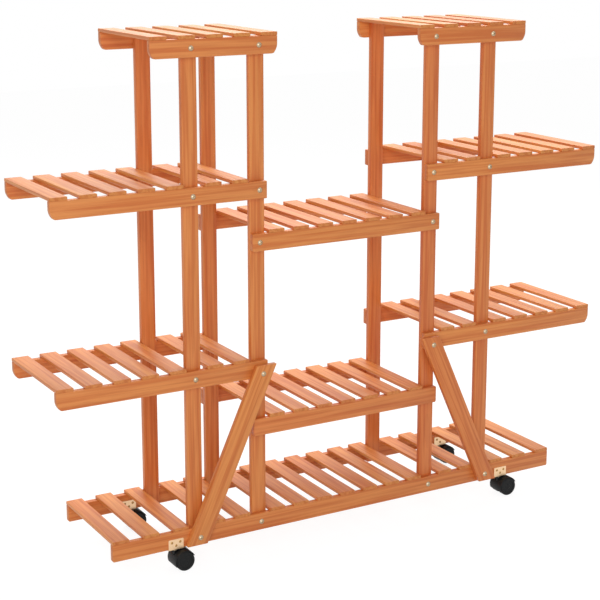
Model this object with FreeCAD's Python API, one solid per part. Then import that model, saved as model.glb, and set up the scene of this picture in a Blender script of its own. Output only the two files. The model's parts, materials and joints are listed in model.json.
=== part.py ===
import FreeCAD, Part
import math
import os

from FreeCAD import Vector

# A stepped plant stand of stained softwood on four swivel casters.  Two towers of four posts carry
# nine slatted shelves: a long base, a low and a high wing on the outside of each tower, a small top
# shelf on each tower, and a low and a high shelf that bridge the two towers.
#
# Millimetres.  X runs along the stand, Y from front to back and Z up.  The origin is on the floor
# under the middle of the stand.  The right half mirrors the left half in X.

# ---------------------------------------------------------------- boards
SHELF_DEPTH = 245.0
SLAT_WIDTH = 35.0
SLAT_THICKNESS = 7.0
RAIL_HEIGHT = 35.0
RAIL_THICKNESS = 12.0
POST_WIDTH = 32.0
POST_THICKNESS = 12.0
BRACE_WIDTH = 40.0
BRACE_THICKNESS = 12.0
BOARD_EASING = 1.0          # rounding of the long edges of posts, rails and braces
SLAT_EASING = 1.2           # rounding of the long edges of slats
RAIL_CORNER = 3.0           # rounding of the plain rails' corners
RAIL_TOP_CORNER = 1.5       # rounding of a swept rail end's upper corner
RAIL_SWEEP_HEIGHT = 20.0    # a swept rail end curves in over this height ...
RAIL_SWEEP_INSET = 9.0      # ... and by this much at its lower edge

# ---------------------------------------------------------------- plan
TOWER_X = 278.8             # middle of a tower, from the middle of the stand
POST_SPACING = 144.4        # between the two post rows of a tower, centre to centre
POST_SLAT_GAP = 4.0         # between a post and the slat beside it
WING_PITCH = 58.5
WING_SLATS = 5
BASE_PITCH = 64.8
BASE_END_SLATS = 3
PAIR_PITCH = 57.2           # the two slats between a tower's post rows
MIDDLE_SLATS = 7
TOP_SLATS = 5
TOP_OVERHANG = 24.0         # the top shelf reaches this far past the inner posts
CASTER_GAP = 4.5            # between a brace's foot and the caster bracket beside it

# ---------------------------------------------------------------- heights
CASTER_HEIGHT = 45.0        # from the floor to the base rails' lower edge
LOW_BRIDGE_RISE = 203.0     # shelf surfaces, above the base shelf's surface
LOW_WING_RISE = 325.0
HIGH_BRIDGE_RISE = 584.0
HIGH_WING_RISE = 689.0
TOP_RISE = 971.0

# ---------------------------------------------------------------- braces
BRACE_TOP_INSET = 7.0       # brace end below the low wing rail's upper edge
BRACE_FOOT_INSET = 2.0      # brace end above the base rail's lower edge
BRACE_BOLT_DROP = 7.0       # upper brace bolt below the middle of the low wing rail

# ---------------------------------------------------------------- fasteners
BOLT_RADIUS = 3.0
BOLT_CLEARANCE = 0.2
BOLT_HEAD_RADIUS = 5.6
BOLT_HEAD_HEIGHT = 3.4
BOLT_BITE = 9.0             # depth in the insert nut
SOCKET_ACROSS_FLATS = 4.0   # hexagon for the key in a bolt's head
SOCKET_DEPTH = 2.4
INSERT_RADIUS = 4.6         # insert nuts, driven into the posts from the rails' side
INSERT_LENGTH = 10.0
INSERT_FLANGE_RADIUS = 6.0
INSERT_FLANGE = 1.2
THREAD_CLEARANCE = 0.05
BRIDGE_SCREW_RADIUS = 1.8
BRIDGE_SCREW_BITE = 9.0     # depth in the rail
BRIDGE_SCREW_HEAD = 3.6
BRIDGE_SCREW_SPACING = 16.0
BRACKET_SCREW_RADIUS = 1.3
BRACKET_SCREW_BITE = 4.8    # depth in the rail
BRACKET_SCREW_HEAD = 2.7
SCREW_HEAD_HEIGHT = 1.6
SCREW_CLEARANCE = 0.06
SLOT_WIDTH = 0.8            # the two crossed slots in a screw's head
SLOT_DEPTH = 1.2
SLOT_REACH = 0.6            # half the length of a slot, as a share of the head's radius

# ---------------------------------------------------------------- casters
WHEEL_RADIUS = 20.0
WHEEL_WIDTH = 14.0
WHEEL_ROUNDING = 2.0
WHEEL_RIM = 3.2
WHEEL_WEB = 3.0
WHEEL_HUB_RADIUS = 6.0
WHEEL_DISH_RADIUS = 14.5
WHEEL_DISH_DEPTH = 1.0
AXLE_RADIUS = 2.0
AXLE_BITE = 10.5            # depth of the axle in each wheel
CASTER_TRAIL = 15.0         # from the swivel axis back to the axle
HOOD_WEB = 11.0             # the hood's middle plate, between the wheels
HOOD_SIDE_GAP = 0.5         # between that plate and a wheel
HOOD_WHEEL_GAP = 0.6        # between the fender and the tread
HOOD_SHELL = 1.4
HOOD_START_DEG = 25.0       # the fender covers the tread between these two angles
HOOD_END_DEG = 205.0
HOOD_WEB_DROP = 7.0         # lower edge of the middle plate below the axle
HOOD_BOSS_RADIUS = 7.5
STEM_RADIUS = 3.5
STEM_BITE = 14.0            # depth of the stem in the hood
STEM_COLLAR_RADIUS = 6.5
STEM_HEAD_RADIUS = 5.0
STEM_HEAD_HEIGHT = 1.6
RUNNING_CLEARANCE = 0.05
BRACKET_LENGTH = 33.0
BRACKET_LEG = 21.0          # height of the legs on the rail's faces
BRACKET_SHEET = 1.5
BRACKET_BASE = 2.0
BRACKET_CORNER = 2.0
BRACKET_SCREW_X = 9.0
BRACKET_SCREW_DROP = 6.5    # upper screws below the legs' upper edge
BRACKET_LOW_DROP = 13.5     # lower screw below the legs' upper edge

# ---------------------------------------------------------------- worked out
SIDES = {"left": -1, "right": 1}
ROWS = {"front": -1, "back": 1}

INNER_POST_X = TOWER_X - POST_SPACING / 2
OUTER_POST_X = TOWER_X + POST_SPACING / 2
INNER_POST_FACE = INNER_POST_X - POST_WIDTH / 2
OUTER_POST_FACE = OUTER_POST_X + POST_WIDTH / 2
BRIDGE_END_X = INNER_POST_X + POST_WIDTH / 2

FIRST_WING_SLAT_X = OUTER_POST_FACE + POST_SLAT_GAP + SLAT_WIDTH / 2
WING_END_X = FIRST_WING_SLAT_X + (WING_SLATS - 1) * WING_PITCH + SLAT_WIDTH / 2
BASE_END_X = FIRST_WING_SLAT_X + (BASE_END_SLATS - 1) * BASE_PITCH + SLAT_WIDTH / 2
LAST_MIDDLE_SLAT_X = INNER_POST_FACE - POST_SLAT_GAP - SLAT_WIDTH / 2
MIDDLE_PITCH = 2 * LAST_MIDDLE_SLAT_X / (MIDDLE_SLATS - 1)
TOP_INNER_X = INNER_POST_FACE - TOP_OVERHANG
TOP_OUTER_X = TOP_INNER_X + (TOP_SLATS - 1) * WING_PITCH + SLAT_WIDTH

BASE_LEVEL = CASTER_HEIGHT + RAIL_HEIGHT + SLAT_THICKNESS
LOW_BRIDGE_LEVEL = BASE_LEVEL + LOW_BRIDGE_RISE
LOW_WING_LEVEL = BASE_LEVEL + LOW_WING_RISE
HIGH_BRIDGE_LEVEL = BASE_LEVEL + HIGH_BRIDGE_RISE
HIGH_WING_LEVEL = BASE_LEVEL + HIGH_WING_RISE
TOP_LEVEL = BASE_LEVEL + TOP_RISE
POST_BOTTOM = CASTER_HEIGHT
POST_TOP = TOP_LEVEL - SLAT_THICKNESS

RAIL_OUTER_Y = SHELF_DEPTH / 2
RAIL_MIDDLE_Y = RAIL_OUTER_Y - RAIL_THICKNESS / 2
RAIL_INNER_Y = RAIL_OUTER_Y - RAIL_THICKNESS
POST_INNER_Y = RAIL_INNER_Y - POST_THICKNESS

HOOD_INNER_RADIUS = WHEEL_RADIUS + HOOD_WHEEL_GAP
HOOD_OUTER_RADIUS = HOOD_INNER_RADIUS + HOOD_SHELL
HOOD_TOP = WHEEL_RADIUS + HOOD_OUTER_RADIUS
BRACKET_BOTTOM = CASTER_HEIGHT - BRACKET_BASE
WHEEL_INNER_Y = HOOD_WEB / 2 + HOOD_SIDE_GAP
WHEEL_OUTER_Y = WHEEL_INNER_Y + WHEEL_WIDTH


def rail_centre_z(level):
    return level - SLAT_THICKNESS - RAIL_HEIGHT / 2


# A brace runs from the inner post at the low wing rail down to the outer post at the base rail,
# and the caster stands just outside its foot.
BRACE_TOP_BOLT_Z = rail_centre_z(LOW_WING_LEVEL) - BRACE_BOLT_DROP
BRACE_SLOPE = POST_SPACING / (BRACE_TOP_BOLT_Z - rail_centre_z(BASE_LEVEL))
BRACE_HALF_CUT = BRACE_WIDTH / 2 * math.sqrt(1 + BRACE_SLOPE ** 2)
BRACE_TOP_Z = LOW_WING_LEVEL - SLAT_THICKNESS - BRACE_TOP_INSET
BRACE_FOOT_Z = CASTER_HEIGHT + BRACE_FOOT_INSET


def brace_centre_x(z):
    """Where the middle line of the right brace passes a height."""
    return INNER_POST_X + (BRACE_TOP_BOLT_Z - z) * BRACE_SLOPE


CASTER_X = brace_centre_x(BRACE_FOOT_Z) + BRACE_HALF_CUT + CASTER_GAP + BRACKET_LENGTH / 2


# Every rail and the shelf it carries: its ends, its surface height, whether the lower corner of
# each end is swept in, and the posts it crosses.
def shelf(x_start, x_end, level, sweep_start, sweep_end, posts):
    return {
        "start": x_start,
        "end": x_end,
        "level": level,
        "sweep_start": sweep_start,
        "sweep_end": sweep_end,
        "posts": posts,
    }


def mirrored_shelf(original):
    return shelf(
        -original["end"],
        -original["start"],
        original["level"],
        original["sweep_end"],
        original["sweep_start"],
        [-x for x in original["posts"]],
    )


TOWER_POSTS = [INNER_POST_X, OUTER_POST_X]
BRIDGE_POSTS = [-INNER_POST_X, INNER_POST_X]

SHELVES = {
    "base": shelf(-BASE_END_X, BASE_END_X, BASE_LEVEL, False, False,
                  [-OUTER_POST_X, -INNER_POST_X, INNER_POST_X, OUTER_POST_X]),
    "low_bridge": shelf(-BRIDGE_END_X, BRIDGE_END_X, LOW_BRIDGE_LEVEL, False, False, BRIDGE_POSTS),
    "high_bridge": shelf(-BRIDGE_END_X, BRIDGE_END_X, HIGH_BRIDGE_LEVEL, False, False, BRIDGE_POSTS),
    "right_low_wing": shelf(INNER_POST_FACE, WING_END_X, LOW_WING_LEVEL, False, True, TOWER_POSTS),
    "right_high_wing": shelf(INNER_POST_FACE, WING_END_X, HIGH_WING_LEVEL, False, True, TOWER_POSTS),
    "right_top": shelf(TOP_INNER_X, TOP_OUTER_X, TOP_LEVEL, True, True, TOWER_POSTS),
}
for kind in ("low_wing", "high_wing", "top"):
    SHELVES["left_" + kind] = mirrored_shelf(SHELVES["right_" + kind])

# The low bridge's front rail is screwed on from behind its posts, so no bolt shows on its face.
SCREWED_RAIL = ("low_bridge", "front")


# ---------------------------------------------------------------- slat places
def evenly(first, pitch, count):
    return [first + pitch * index for index in range(count)]


def both_sides(places):
    return [-x for x in reversed(places)] + places


def slat_places(name):
    pair = evenly(TOWER_X - PAIR_PITCH / 2, PAIR_PITCH, 2)
    middle = evenly(-LAST_MIDDLE_SLAT_X, MIDDLE_PITCH, MIDDLE_SLATS)
    if name == "base":
        ends = evenly(FIRST_WING_SLAT_X, BASE_PITCH, BASE_END_SLATS)
        return both_sides(pair + ends) + middle
    if name.endswith("bridge"):
        return middle
    side = -1 if name.startswith("left") else 1
    if name.endswith("top"):
        return [side * x for x in evenly(TOP_INNER_X + SLAT_WIDTH / 2, WING_PITCH, TOP_SLATS)]
    return [side * x for x in pair + evenly(FIRST_WING_SLAT_X, WING_PITCH, WING_SLATS)]


# ---------------------------------------------------------------- bolt places
# The brace shares one bolt with the low wing rail and the inner front post, and one with the
# base rail and the outer front post.
def bolt_z(name, post_x, row):
    centre = rail_centre_z(SHELVES[name]["level"])
    if row == "front" and name.endswith("low_wing") and abs(post_x) == INNER_POST_X:
        return centre - BRACE_BOLT_DROP
    return centre


def is_brace_bolt(name, post_x, row):
    if row != "front":
        return False
    if name == "base":
        return abs(post_x) == OUTER_POST_X
    return name.endswith("low_wing") and abs(post_x) == INNER_POST_X


def bolts():
    """Every bolt's rail, post and row."""
    places = []
    for name in SHELVES:
        for row in ROWS:
            if (name, row) != SCREWED_RAIL:
                places.extend((name, post_x, row) for post_x in SHELVES[name]["posts"])
    return places


def bridge_screws():
    name, row = SCREWED_RAIL
    centre = rail_centre_z(SHELVES[name]["level"])
    heights = [centre - BRIDGE_SCREW_SPACING / 2, centre + BRIDGE_SCREW_SPACING / 2]
    return [(x, row, z) for x in SHELVES[name]["posts"] for z in heights]


def casters():
    return [(row, side) for row in ROWS for side in SIDES]


# ---------------------------------------------------------------- basic solids
def box(x0, x1, y0, y1, z0, z1):
    return Part.makeBox(x1 - x0, y1 - y0, z1 - z0, Vector(x0, y0, z0))


def cylinder_y(radius, x, z, y0, y1):
    return Part.makeCylinder(radius, y1 - y0, Vector(x, y0, z), Vector(0, 1, 0))


def cylinder_z(radius, x, y, z0, z1):
    return Part.makeCylinder(radius, z1 - z0, Vector(x, y, z0), Vector(0, 0, 1))


def row_cylinder(radius, x, z, row, depth0, depth1):
    """A cylinder along Y in one row, between two distances from the stand's middle plane."""
    low, high = sorted((ROWS[row] * depth0, ROWS[row] * depth1))
    return cylinder_y(radius, x, z, low, high)


def facing(solid, direction, x, y, z):
    """Put a piece in place that was made about the Y axis with its outer side towards +Y."""
    if direction < 0:
        solid.rotate(Vector(0, 0, 0), Vector(0, 0, 1), 180)
    solid.translate(Vector(x, y, z))
    return solid


def on_circle(radius, degrees, x, z):
    turn = math.radians(degrees)
    return Vector(x + radius * math.cos(turn), 0, z + radius * math.sin(turn))


def long_edges(solid, axis):
    """The straight edges that run along one axis: 0, 1 or 2 for X, Y or Z."""
    found = []
    for edge in solid.Edges:
        if len(edge.Vertexes) < 2:
            continue
        along = edge.Vertexes[1].Point - edge.Vertexes[0].Point
        if abs(abs(along[axis]) - along.Length) < 1e-6:
            found.append(edge)
    return found


def outline_edges(solid, y0, y1):
    """The edges that lie wholly in one of the two faces square to Y."""
    found = []
    for edge in solid.Edges:
        bounds = edge.BoundBox
        flat = bounds.YLength < 1e-6
        if flat and min(abs(bounds.YMin - y0), abs(bounds.YMin - y1)) < 1e-6:
            found.append(edge)
    return found


def corner_edge(solid, x, z):
    """The edge along Y that stands at one corner of a board's outline."""
    for edge in long_edges(solid, 1):
        point = edge.Vertexes[0].Point
        if abs(point.x - x) < 1e-6 and abs(point.z - z) < 1e-6:
            return edge
    raise ValueError("no corner at %g, %g" % (x, z))


def group(solids):
    return Part.makeCompound(solids)


# ---------------------------------------------------------------- boards
def swept_end(x_end, inward, z_top, z_low):
    """The outline of a swept rail end, from its upper to its lower corner."""
    radius = (RAIL_SWEEP_HEIGHT ** 2 + RAIL_SWEEP_INSET ** 2) / (2 * RAIL_SWEEP_INSET)
    half_turn = math.asin(RAIL_SWEEP_HEIGHT / radius) / 2
    start = Vector(x_end, 0, z_low + RAIL_SWEEP_HEIGHT)
    middle = Vector(
        x_end + inward * radius * (1 - math.cos(half_turn)),
        0,
        start.z - radius * math.sin(half_turn),
    )
    finish = Vector(x_end + inward * RAIL_SWEEP_INSET, 0, z_low)
    straight = Part.makeLine(Vector(x_end, 0, z_top), start)
    return [straight, Part.Arc(start, middle, finish).toShape()]


def plain_end(x_end, z_top, z_low):
    return [Part.makeLine(Vector(x_end, 0, z_top), Vector(x_end, 0, z_low))]


def rail(details, row):
    """One rail: an upright board with its ends shaped, drilled for its bolts or screws."""
    z_top = details["level"] - SLAT_THICKNESS
    z_low = z_top - RAIL_HEIGHT
    ends = []
    corners = []
    for x_end, inward, swept in (
        (details["start"], 1, details["sweep_start"]),
        (details["end"], -1, details["sweep_end"]),
    ):
        if swept:
            ends.append(swept_end(x_end, inward, z_top, z_low))
            corners.append((x_end, z_top, RAIL_TOP_CORNER))
            corners.append((x_end + inward * RAIL_SWEEP_INSET, z_low, RAIL_CORNER))
        else:
            ends.append(plain_end(x_end, z_top, z_low))
            corners.append((x_end, z_top, RAIL_TOP_CORNER))
            corners.append((x_end, z_low, RAIL_CORNER))
    start_low = ends[0][-1].Vertexes[-1].Point
    end_low = ends[1][-1].Vertexes[-1].Point
    top = Part.makeLine(Vector(details["start"], 0, z_top), Vector(details["end"], 0, z_top))
    bottom = Part.makeLine(start_low, end_low)
    outline = Part.Wire(Part.__sortEdges__(ends[0] + [bottom] + ends[1] + [top]))
    y0, y1 = sorted((ROWS[row] * RAIL_INNER_Y, ROWS[row] * RAIL_OUTER_Y))
    face = Part.Face(outline)
    face.translate(Vector(0, y0, 0))
    board = face.extrude(Vector(0, y1 - y0, 0))
    for x, z, radius in corners:
        board = board.makeFillet(radius, [corner_edge(board, x, z)])
    return board.makeFillet(BOARD_EASING, outline_edges(board, y0, y1))


def slat(x, level):
    board = box(x - SLAT_WIDTH / 2, x + SLAT_WIDTH / 2, -SHELF_DEPTH / 2, SHELF_DEPTH / 2,
                level - SLAT_THICKNESS, level)
    return board.makeFillet(SLAT_EASING, long_edges(board, 1))


def post(x, row):
    y0, y1 = sorted((ROWS[row] * RAIL_INNER_Y, ROWS[row] * POST_INNER_Y))
    board = box(x - POST_WIDTH / 2, x + POST_WIDTH / 2, y0, y1, POST_BOTTOM, POST_TOP)
    return board.makeFillet(BOARD_EASING, long_edges(board, 2))


def brace(side):
    """The slanted front board of one tower, cut level at both ends."""
    corners = []
    for z, edges in ((BRACE_TOP_Z, (-1, 1)), (BRACE_FOOT_Z, (1, -1))):
        for edge in edges:
            x = side * (brace_centre_x(z) + edge * BRACE_HALF_CUT)
            corners.append(Vector(x, -RAIL_OUTER_Y - BRACE_THICKNESS, z))
    outline = Part.makePolygon(corners + corners[:1])
    board = Part.Face(outline).extrude(Vector(0, BRACE_THICKNESS, 0))
    faces = (-RAIL_OUTER_Y - BRACE_THICKNESS, -RAIL_OUTER_Y)
    return board.makeFillet(BOARD_EASING, outline_edges(board, *faces))


# ---------------------------------------------------------------- fasteners
def domed_pin(shank_radius, length, head_radius, head_height):
    """A turned pin with a domed head, its seat at the origin and its head towards +Y."""
    sphere_radius = (head_radius ** 2 + head_height ** 2) / (2 * head_height)
    half_turn = math.asin(head_radius / sphere_radius) / 2
    shoulder = Vector(head_radius, 0, 0)
    crown = Vector(0, head_height, 0)
    between = Vector(
        sphere_radius * math.sin(half_turn),
        head_height - sphere_radius * (1 - math.cos(half_turn)),
        0,
    )
    tip = Vector(0, -length, 0)
    corners = [crown, tip, Vector(shank_radius, -length, 0), Vector(shank_radius, 0, 0), shoulder]
    edges = [Part.makeLine(start, finish) for start, finish in zip(corners, corners[1:])]
    edges.append(Part.Arc(shoulder, between, crown).toShape())
    return Part.Face(Part.Wire(edges)).revolve(Vector(0, 0, 0), Vector(0, 1, 0), 360)


def hexagon(across_flats, depth0, depth1):
    """A hexagonal bar about the Y axis between two places on it."""
    corner_radius = across_flats / 2 / math.cos(math.pi / 6)
    corners = [on_circle(corner_radius, 60 * index, 0, 0) for index in range(6)]
    bar = Part.Face(Part.makePolygon(corners + corners[:1])).extrude(Vector(0, depth1 - depth0, 0))
    bar.translate(Vector(0, depth0, 0))
    return bar


def bolt_seat(name, post_x, row):
    """Distance of a bolt head's seat from the middle plane."""
    return RAIL_OUTER_Y + (BRACE_THICKNESS if is_brace_bolt(name, post_x, row) else 0.0)


def bolt(name, post_x, row):
    """A button-head bolt with a hexagon socket, from the stand's face into its insert nut."""
    seat = bolt_seat(name, post_x, row)
    length = seat - RAIL_INNER_Y + BOLT_BITE
    pin = domed_pin(BOLT_RADIUS, length, BOLT_HEAD_RADIUS, BOLT_HEAD_HEIGHT)
    socket_floor = BOLT_HEAD_HEIGHT - SOCKET_DEPTH
    pin = pin.cut(hexagon(SOCKET_ACROSS_FLATS, socket_floor, BOLT_HEAD_HEIGHT))
    return facing(pin, ROWS[row], post_x, ROWS[row] * seat, bolt_z(name, post_x, row))


def insert_solid(name, post_x, row):
    """The space of an insert nut: a flange flush with the post's face and a barrel in the wood."""
    z = bolt_z(name, post_x, row)
    barrel = row_cylinder(INSERT_RADIUS, post_x, z, row, RAIL_INNER_Y - INSERT_LENGTH, RAIL_INNER_Y)
    flange = row_cylinder(INSERT_FLANGE_RADIUS, post_x, z, row, RAIL_INNER_Y - INSERT_FLANGE, RAIL_INNER_Y)
    return barrel.fuse(flange)


def insert_nut(name, post_x, row):
    z = bolt_z(name, post_x, row)
    radius = BOLT_RADIUS + THREAD_CLEARANCE
    bore = row_cylinder(radius, post_x, z, row, RAIL_INNER_Y - INSERT_LENGTH, RAIL_INNER_Y)
    return insert_solid(name, post_x, row).cut(bore)


def bolt_hole(name, post_x, row):
    """What a bolt and its insert nut take out of the brace, the rail and the post."""
    z = bolt_z(name, post_x, row)
    seat = bolt_seat(name, post_x, row)
    hole = row_cylinder(BOLT_RADIUS + BOLT_CLEARANCE, post_x, z, row, RAIL_INNER_Y, seat)
    return hole.fuse(insert_solid(name, post_x, row))


def screw(radius, length, head_radius):
    """A wood screw with a domed, cross-slotted head, its seat at the origin and its head towards +Y."""
    pin = domed_pin(radius, length, head_radius, SCREW_HEAD_HEIGHT)
    floor = SCREW_HEAD_HEIGHT - SLOT_DEPTH
    reach = head_radius * SLOT_REACH
    half = SLOT_WIDTH / 2
    slots = [
        box(-reach, reach, floor, SCREW_HEAD_HEIGHT, -half, half),
        box(-half, half, floor, SCREW_HEAD_HEIGHT, -reach, reach),
    ]
    return pin.cut(slots)


def bridge_screw(x, row, z):
    """A wood screw from a post's inner face through the post into the low bridge rail."""
    pin = screw(BRIDGE_SCREW_RADIUS, POST_THICKNESS + BRIDGE_SCREW_BITE, BRIDGE_SCREW_HEAD)
    return facing(pin, -ROWS[row], x, ROWS[row] * POST_INNER_Y, z)


def bridge_screw_hole(x, row, z):
    tip = RAIL_INNER_Y + BRIDGE_SCREW_BITE + SCREW_CLEARANCE
    return row_cylinder(BRIDGE_SCREW_RADIUS + SCREW_CLEARANCE, x, z, row, POST_INNER_Y, tip)


def bracket_screws(row, side):
    """Places of a bracket's screws on one leg: two above and one below."""
    x = SIDES[side] * CASTER_X
    top = CASTER_HEIGHT + BRACKET_LEG
    return [
        (x - BRACKET_SCREW_X, top - BRACKET_SCREW_DROP),
        (x + BRACKET_SCREW_X, top - BRACKET_SCREW_DROP),
        (x, top - BRACKET_LOW_DROP),
    ]


def bracket_screw_pair(x, z, row):
    """The screws at one place of a bracket's outer and inner leg."""
    length = BRACKET_SHEET + BRACKET_SCREW_BITE
    pair = []
    for direction, seat in (
        (ROWS[row], RAIL_OUTER_Y + BRACKET_SHEET),
        (-ROWS[row], RAIL_INNER_Y - BRACKET_SHEET),
    ):
        pin = screw(BRACKET_SCREW_RADIUS, length, BRACKET_SCREW_HEAD)
        pair.append(facing(pin, direction, x, ROWS[row] * seat, z))
    return pair


def bracket_screw_holes(x, z, row):
    radius = BRACKET_SCREW_RADIUS + SCREW_CLEARANCE
    bite = BRACKET_SCREW_BITE + SCREW_CLEARANCE
    outer = row_cylinder(radius, x, z, row, RAIL_OUTER_Y - bite, RAIL_OUTER_Y + BRACKET_SHEET)
    inner = row_cylinder(radius, x, z, row, RAIL_INNER_Y - BRACKET_SHEET, RAIL_INNER_Y + bite)
    return [outer, inner]


# ---------------------------------------------------------------- caster pieces
def caster_origin(row, side):
    """The swivel axis on the floor.  Every caster trails towards +X."""
    return Vector(SIDES[side] * CASTER_X, ROWS[row] * RAIL_MIDDLE_Y, 0)


def bracket(row, side):
    """A channel of sheet metal that straddles the rail's lower edge."""
    place = caster_origin(row, side)
    half_length = BRACKET_LENGTH / 2
    half_gap = RAIL_THICKNESS / 2
    half_width = half_gap + BRACKET_SHEET
    top = CASTER_HEIGHT + BRACKET_LEG
    x0, x1 = place.x - half_length, place.x + half_length
    channel = box(x0, x1, place.y - half_width, place.y + half_width, BRACKET_BOTTOM, top)
    channel = channel.cut(box(x0, x1, place.y - half_gap, place.y + half_gap, CASTER_HEIGHT, top))
    corners = [edge for edge in long_edges(channel, 1) if abs(edge.Vertexes[0].Z - top) < 1e-6]
    channel = channel.makeFillet(BRACKET_CORNER, corners)
    holes = [cylinder_z(STEM_RADIUS + RUNNING_CLEARANCE, place.x, place.y, BRACKET_BOTTOM, CASTER_HEIGHT)]
    for x, z in bracket_screws(row, side):
        holes.extend(bracket_screw_holes(x, z, row))
    return channel.cut(holes)


def stem(row, side):
    """The swivel pin: riveted through the bracket, with a collar that the hood turns against."""
    place = caster_origin(row, side)
    shank = cylinder_z(STEM_RADIUS, place.x, place.y, HOOD_TOP - STEM_BITE, CASTER_HEIGHT)
    collar = cylinder_z(STEM_COLLAR_RADIUS, place.x, place.y, HOOD_TOP + RUNNING_CLEARANCE, BRACKET_BOTTOM)
    head = cylinder_z(STEM_HEAD_RADIUS, place.x, place.y, CASTER_HEIGHT, CASTER_HEIGHT + STEM_HEAD_HEIGHT)
    return shank.fuse([collar, head]).removeSplitter()


def stem_recess(row, side):
    """The pocket in the rail's lower edge for the riveted head."""
    place = caster_origin(row, side)
    radius = STEM_HEAD_RADIUS + RUNNING_CLEARANCE
    depth = STEM_HEAD_HEIGHT + RUNNING_CLEARANCE
    return cylinder_z(radius, place.x, place.y, CASTER_HEIGHT, CASTER_HEIGHT + depth)


def fender(place):
    """The arched shell over both treads, as wide as the pair of wheels."""
    axle_x = place.x + CASTER_TRAIL
    middle_deg = (HOOD_START_DEG + HOOD_END_DEG) / 2
    outer = [
        on_circle(HOOD_OUTER_RADIUS, angle, axle_x, WHEEL_RADIUS)
        for angle in (HOOD_START_DEG, middle_deg, HOOD_END_DEG)
    ]
    inner = [
        on_circle(HOOD_INNER_RADIUS, angle, axle_x, WHEEL_RADIUS)
        for angle in (HOOD_END_DEG, middle_deg, HOOD_START_DEG)
    ]
    outline = Part.Wire([
        Part.Arc(*outer).toShape(),
        Part.makeLine(outer[-1], inner[0]),
        Part.Arc(*inner).toShape(),
        Part.makeLine(inner[-1], outer[0]),
    ])
    shell = Part.Face(outline).extrude(Vector(0, 2 * WHEEL_OUTER_Y, 0))
    shell.translate(Vector(0, place.y - WHEEL_OUTER_Y, 0))
    return shell


def hood(row, side):
    """The caster's body: a plate between the wheels, a fender over their treads and a boss."""
    place = caster_origin(row, side)
    axle_x = place.x + CASTER_TRAIL
    y0, y1 = place.y - HOOD_WEB / 2, place.y + HOOD_WEB / 2
    boss = cylinder_z(HOOD_BOSS_RADIUS, place.x, place.y, WHEEL_RADIUS + HOOD_BOSS_RADIUS, HOOD_TOP)
    for wheel_y0, wheel_y1 in ((y1, place.y + WHEEL_OUTER_Y), (place.y - WHEEL_OUTER_Y, y0)):
        boss = boss.cut(cylinder_y(HOOD_INNER_RADIUS, axle_x, WHEEL_RADIUS, wheel_y0, wheel_y1))
    disc = cylinder_y(HOOD_OUTER_RADIUS, axle_x, WHEEL_RADIUS, y0, y1)
    x0, x1 = axle_x - HOOD_OUTER_RADIUS, axle_x + HOOD_OUTER_RADIUS
    plate = disc.common(box(x0, x1, y0, y1, WHEEL_RADIUS - HOOD_WEB_DROP, HOOD_TOP))
    body = fender(place).fuse([plate, boss]).removeSplitter()
    bore_bottom = HOOD_TOP - STEM_BITE - RUNNING_CLEARANCE
    bore = cylinder_z(STEM_RADIUS + RUNNING_CLEARANCE, place.x, place.y, bore_bottom, HOOD_TOP)
    axle_hole = cylinder_y(AXLE_RADIUS + RUNNING_CLEARANCE, axle_x, WHEEL_RADIUS, y0, y1)
    return body.cut([bore, axle_hole])


def axle(row, side):
    place = caster_origin(row, side)
    reach = WHEEL_INNER_Y + AXLE_BITE
    return cylinder_y(AXLE_RADIUS, place.x + CASTER_TRAIL, WHEEL_RADIUS, place.y - reach, place.y + reach)


def wheel(row, side, direction):
    """One of a caster's two wheels: hollow towards the hood, with a dished outer face."""
    place = caster_origin(row, side)
    face_y = WHEEL_WIDTH
    points = [
        (AXLE_RADIUS + RUNNING_CLEARANCE, 0),
        (WHEEL_HUB_RADIUS, 0),
        (WHEEL_HUB_RADIUS, face_y - WHEEL_DISH_DEPTH - WHEEL_WEB),
        (WHEEL_RADIUS - WHEEL_RIM, face_y - WHEEL_DISH_DEPTH - WHEEL_WEB),
        (WHEEL_RADIUS - WHEEL_RIM, 0),
        (WHEEL_RADIUS, 0),
        (WHEEL_RADIUS, face_y),
        (WHEEL_DISH_RADIUS, face_y),
        (WHEEL_DISH_RADIUS, face_y - WHEEL_DISH_DEPTH),
        (0, face_y - WHEEL_DISH_DEPTH),
        (0, AXLE_BITE + RUNNING_CLEARANCE),
        (AXLE_RADIUS + RUNNING_CLEARANCE, AXLE_BITE + RUNNING_CLEARANCE),
    ]
    outline = Part.makePolygon([Vector(radius, y, 0) for radius, y in points + points[:1]])
    solid = Part.Face(outline).revolve(Vector(0, 0, 0), Vector(0, 1, 0), 360)
    rim = [edge for edge in solid.Edges if on_rim(edge, face_y)]
    solid = solid.makeFillet(WHEEL_ROUNDING, rim)
    return facing(solid, direction, place.x + CASTER_TRAIL, place.y + direction * WHEEL_INNER_Y, WHEEL_RADIUS)


def on_rim(edge, face_y):
    """Whether a wheel's edge is the circle where the tread meets the outer face."""
    bounds = edge.BoundBox
    in_face = bounds.YLength < 1e-6 and abs(bounds.YMin - face_y) < 1e-6
    return in_face and abs(bounds.XMax - WHEEL_RADIUS) < 1e-3


# ---------------------------------------------------------------- assembly
def drilled(board, holes):
    """The board with every hole that reaches it taken out."""
    reaching = [hole for hole in holes if hole.BoundBox.intersect(board.BoundBox)]
    if not reaching:
        return board
    return board.cut(reaching)


def all_holes():
    holes = [bolt_hole(*place) for place in bolts()]
    holes.extend(bridge_screw_hole(*place) for place in bridge_screws())
    for row, side in casters():
        holes.append(stem_recess(row, side))
        for x, z in bracket_screws(row, side):
            holes.extend(bracket_screw_holes(x, z, row))
    return holes


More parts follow.
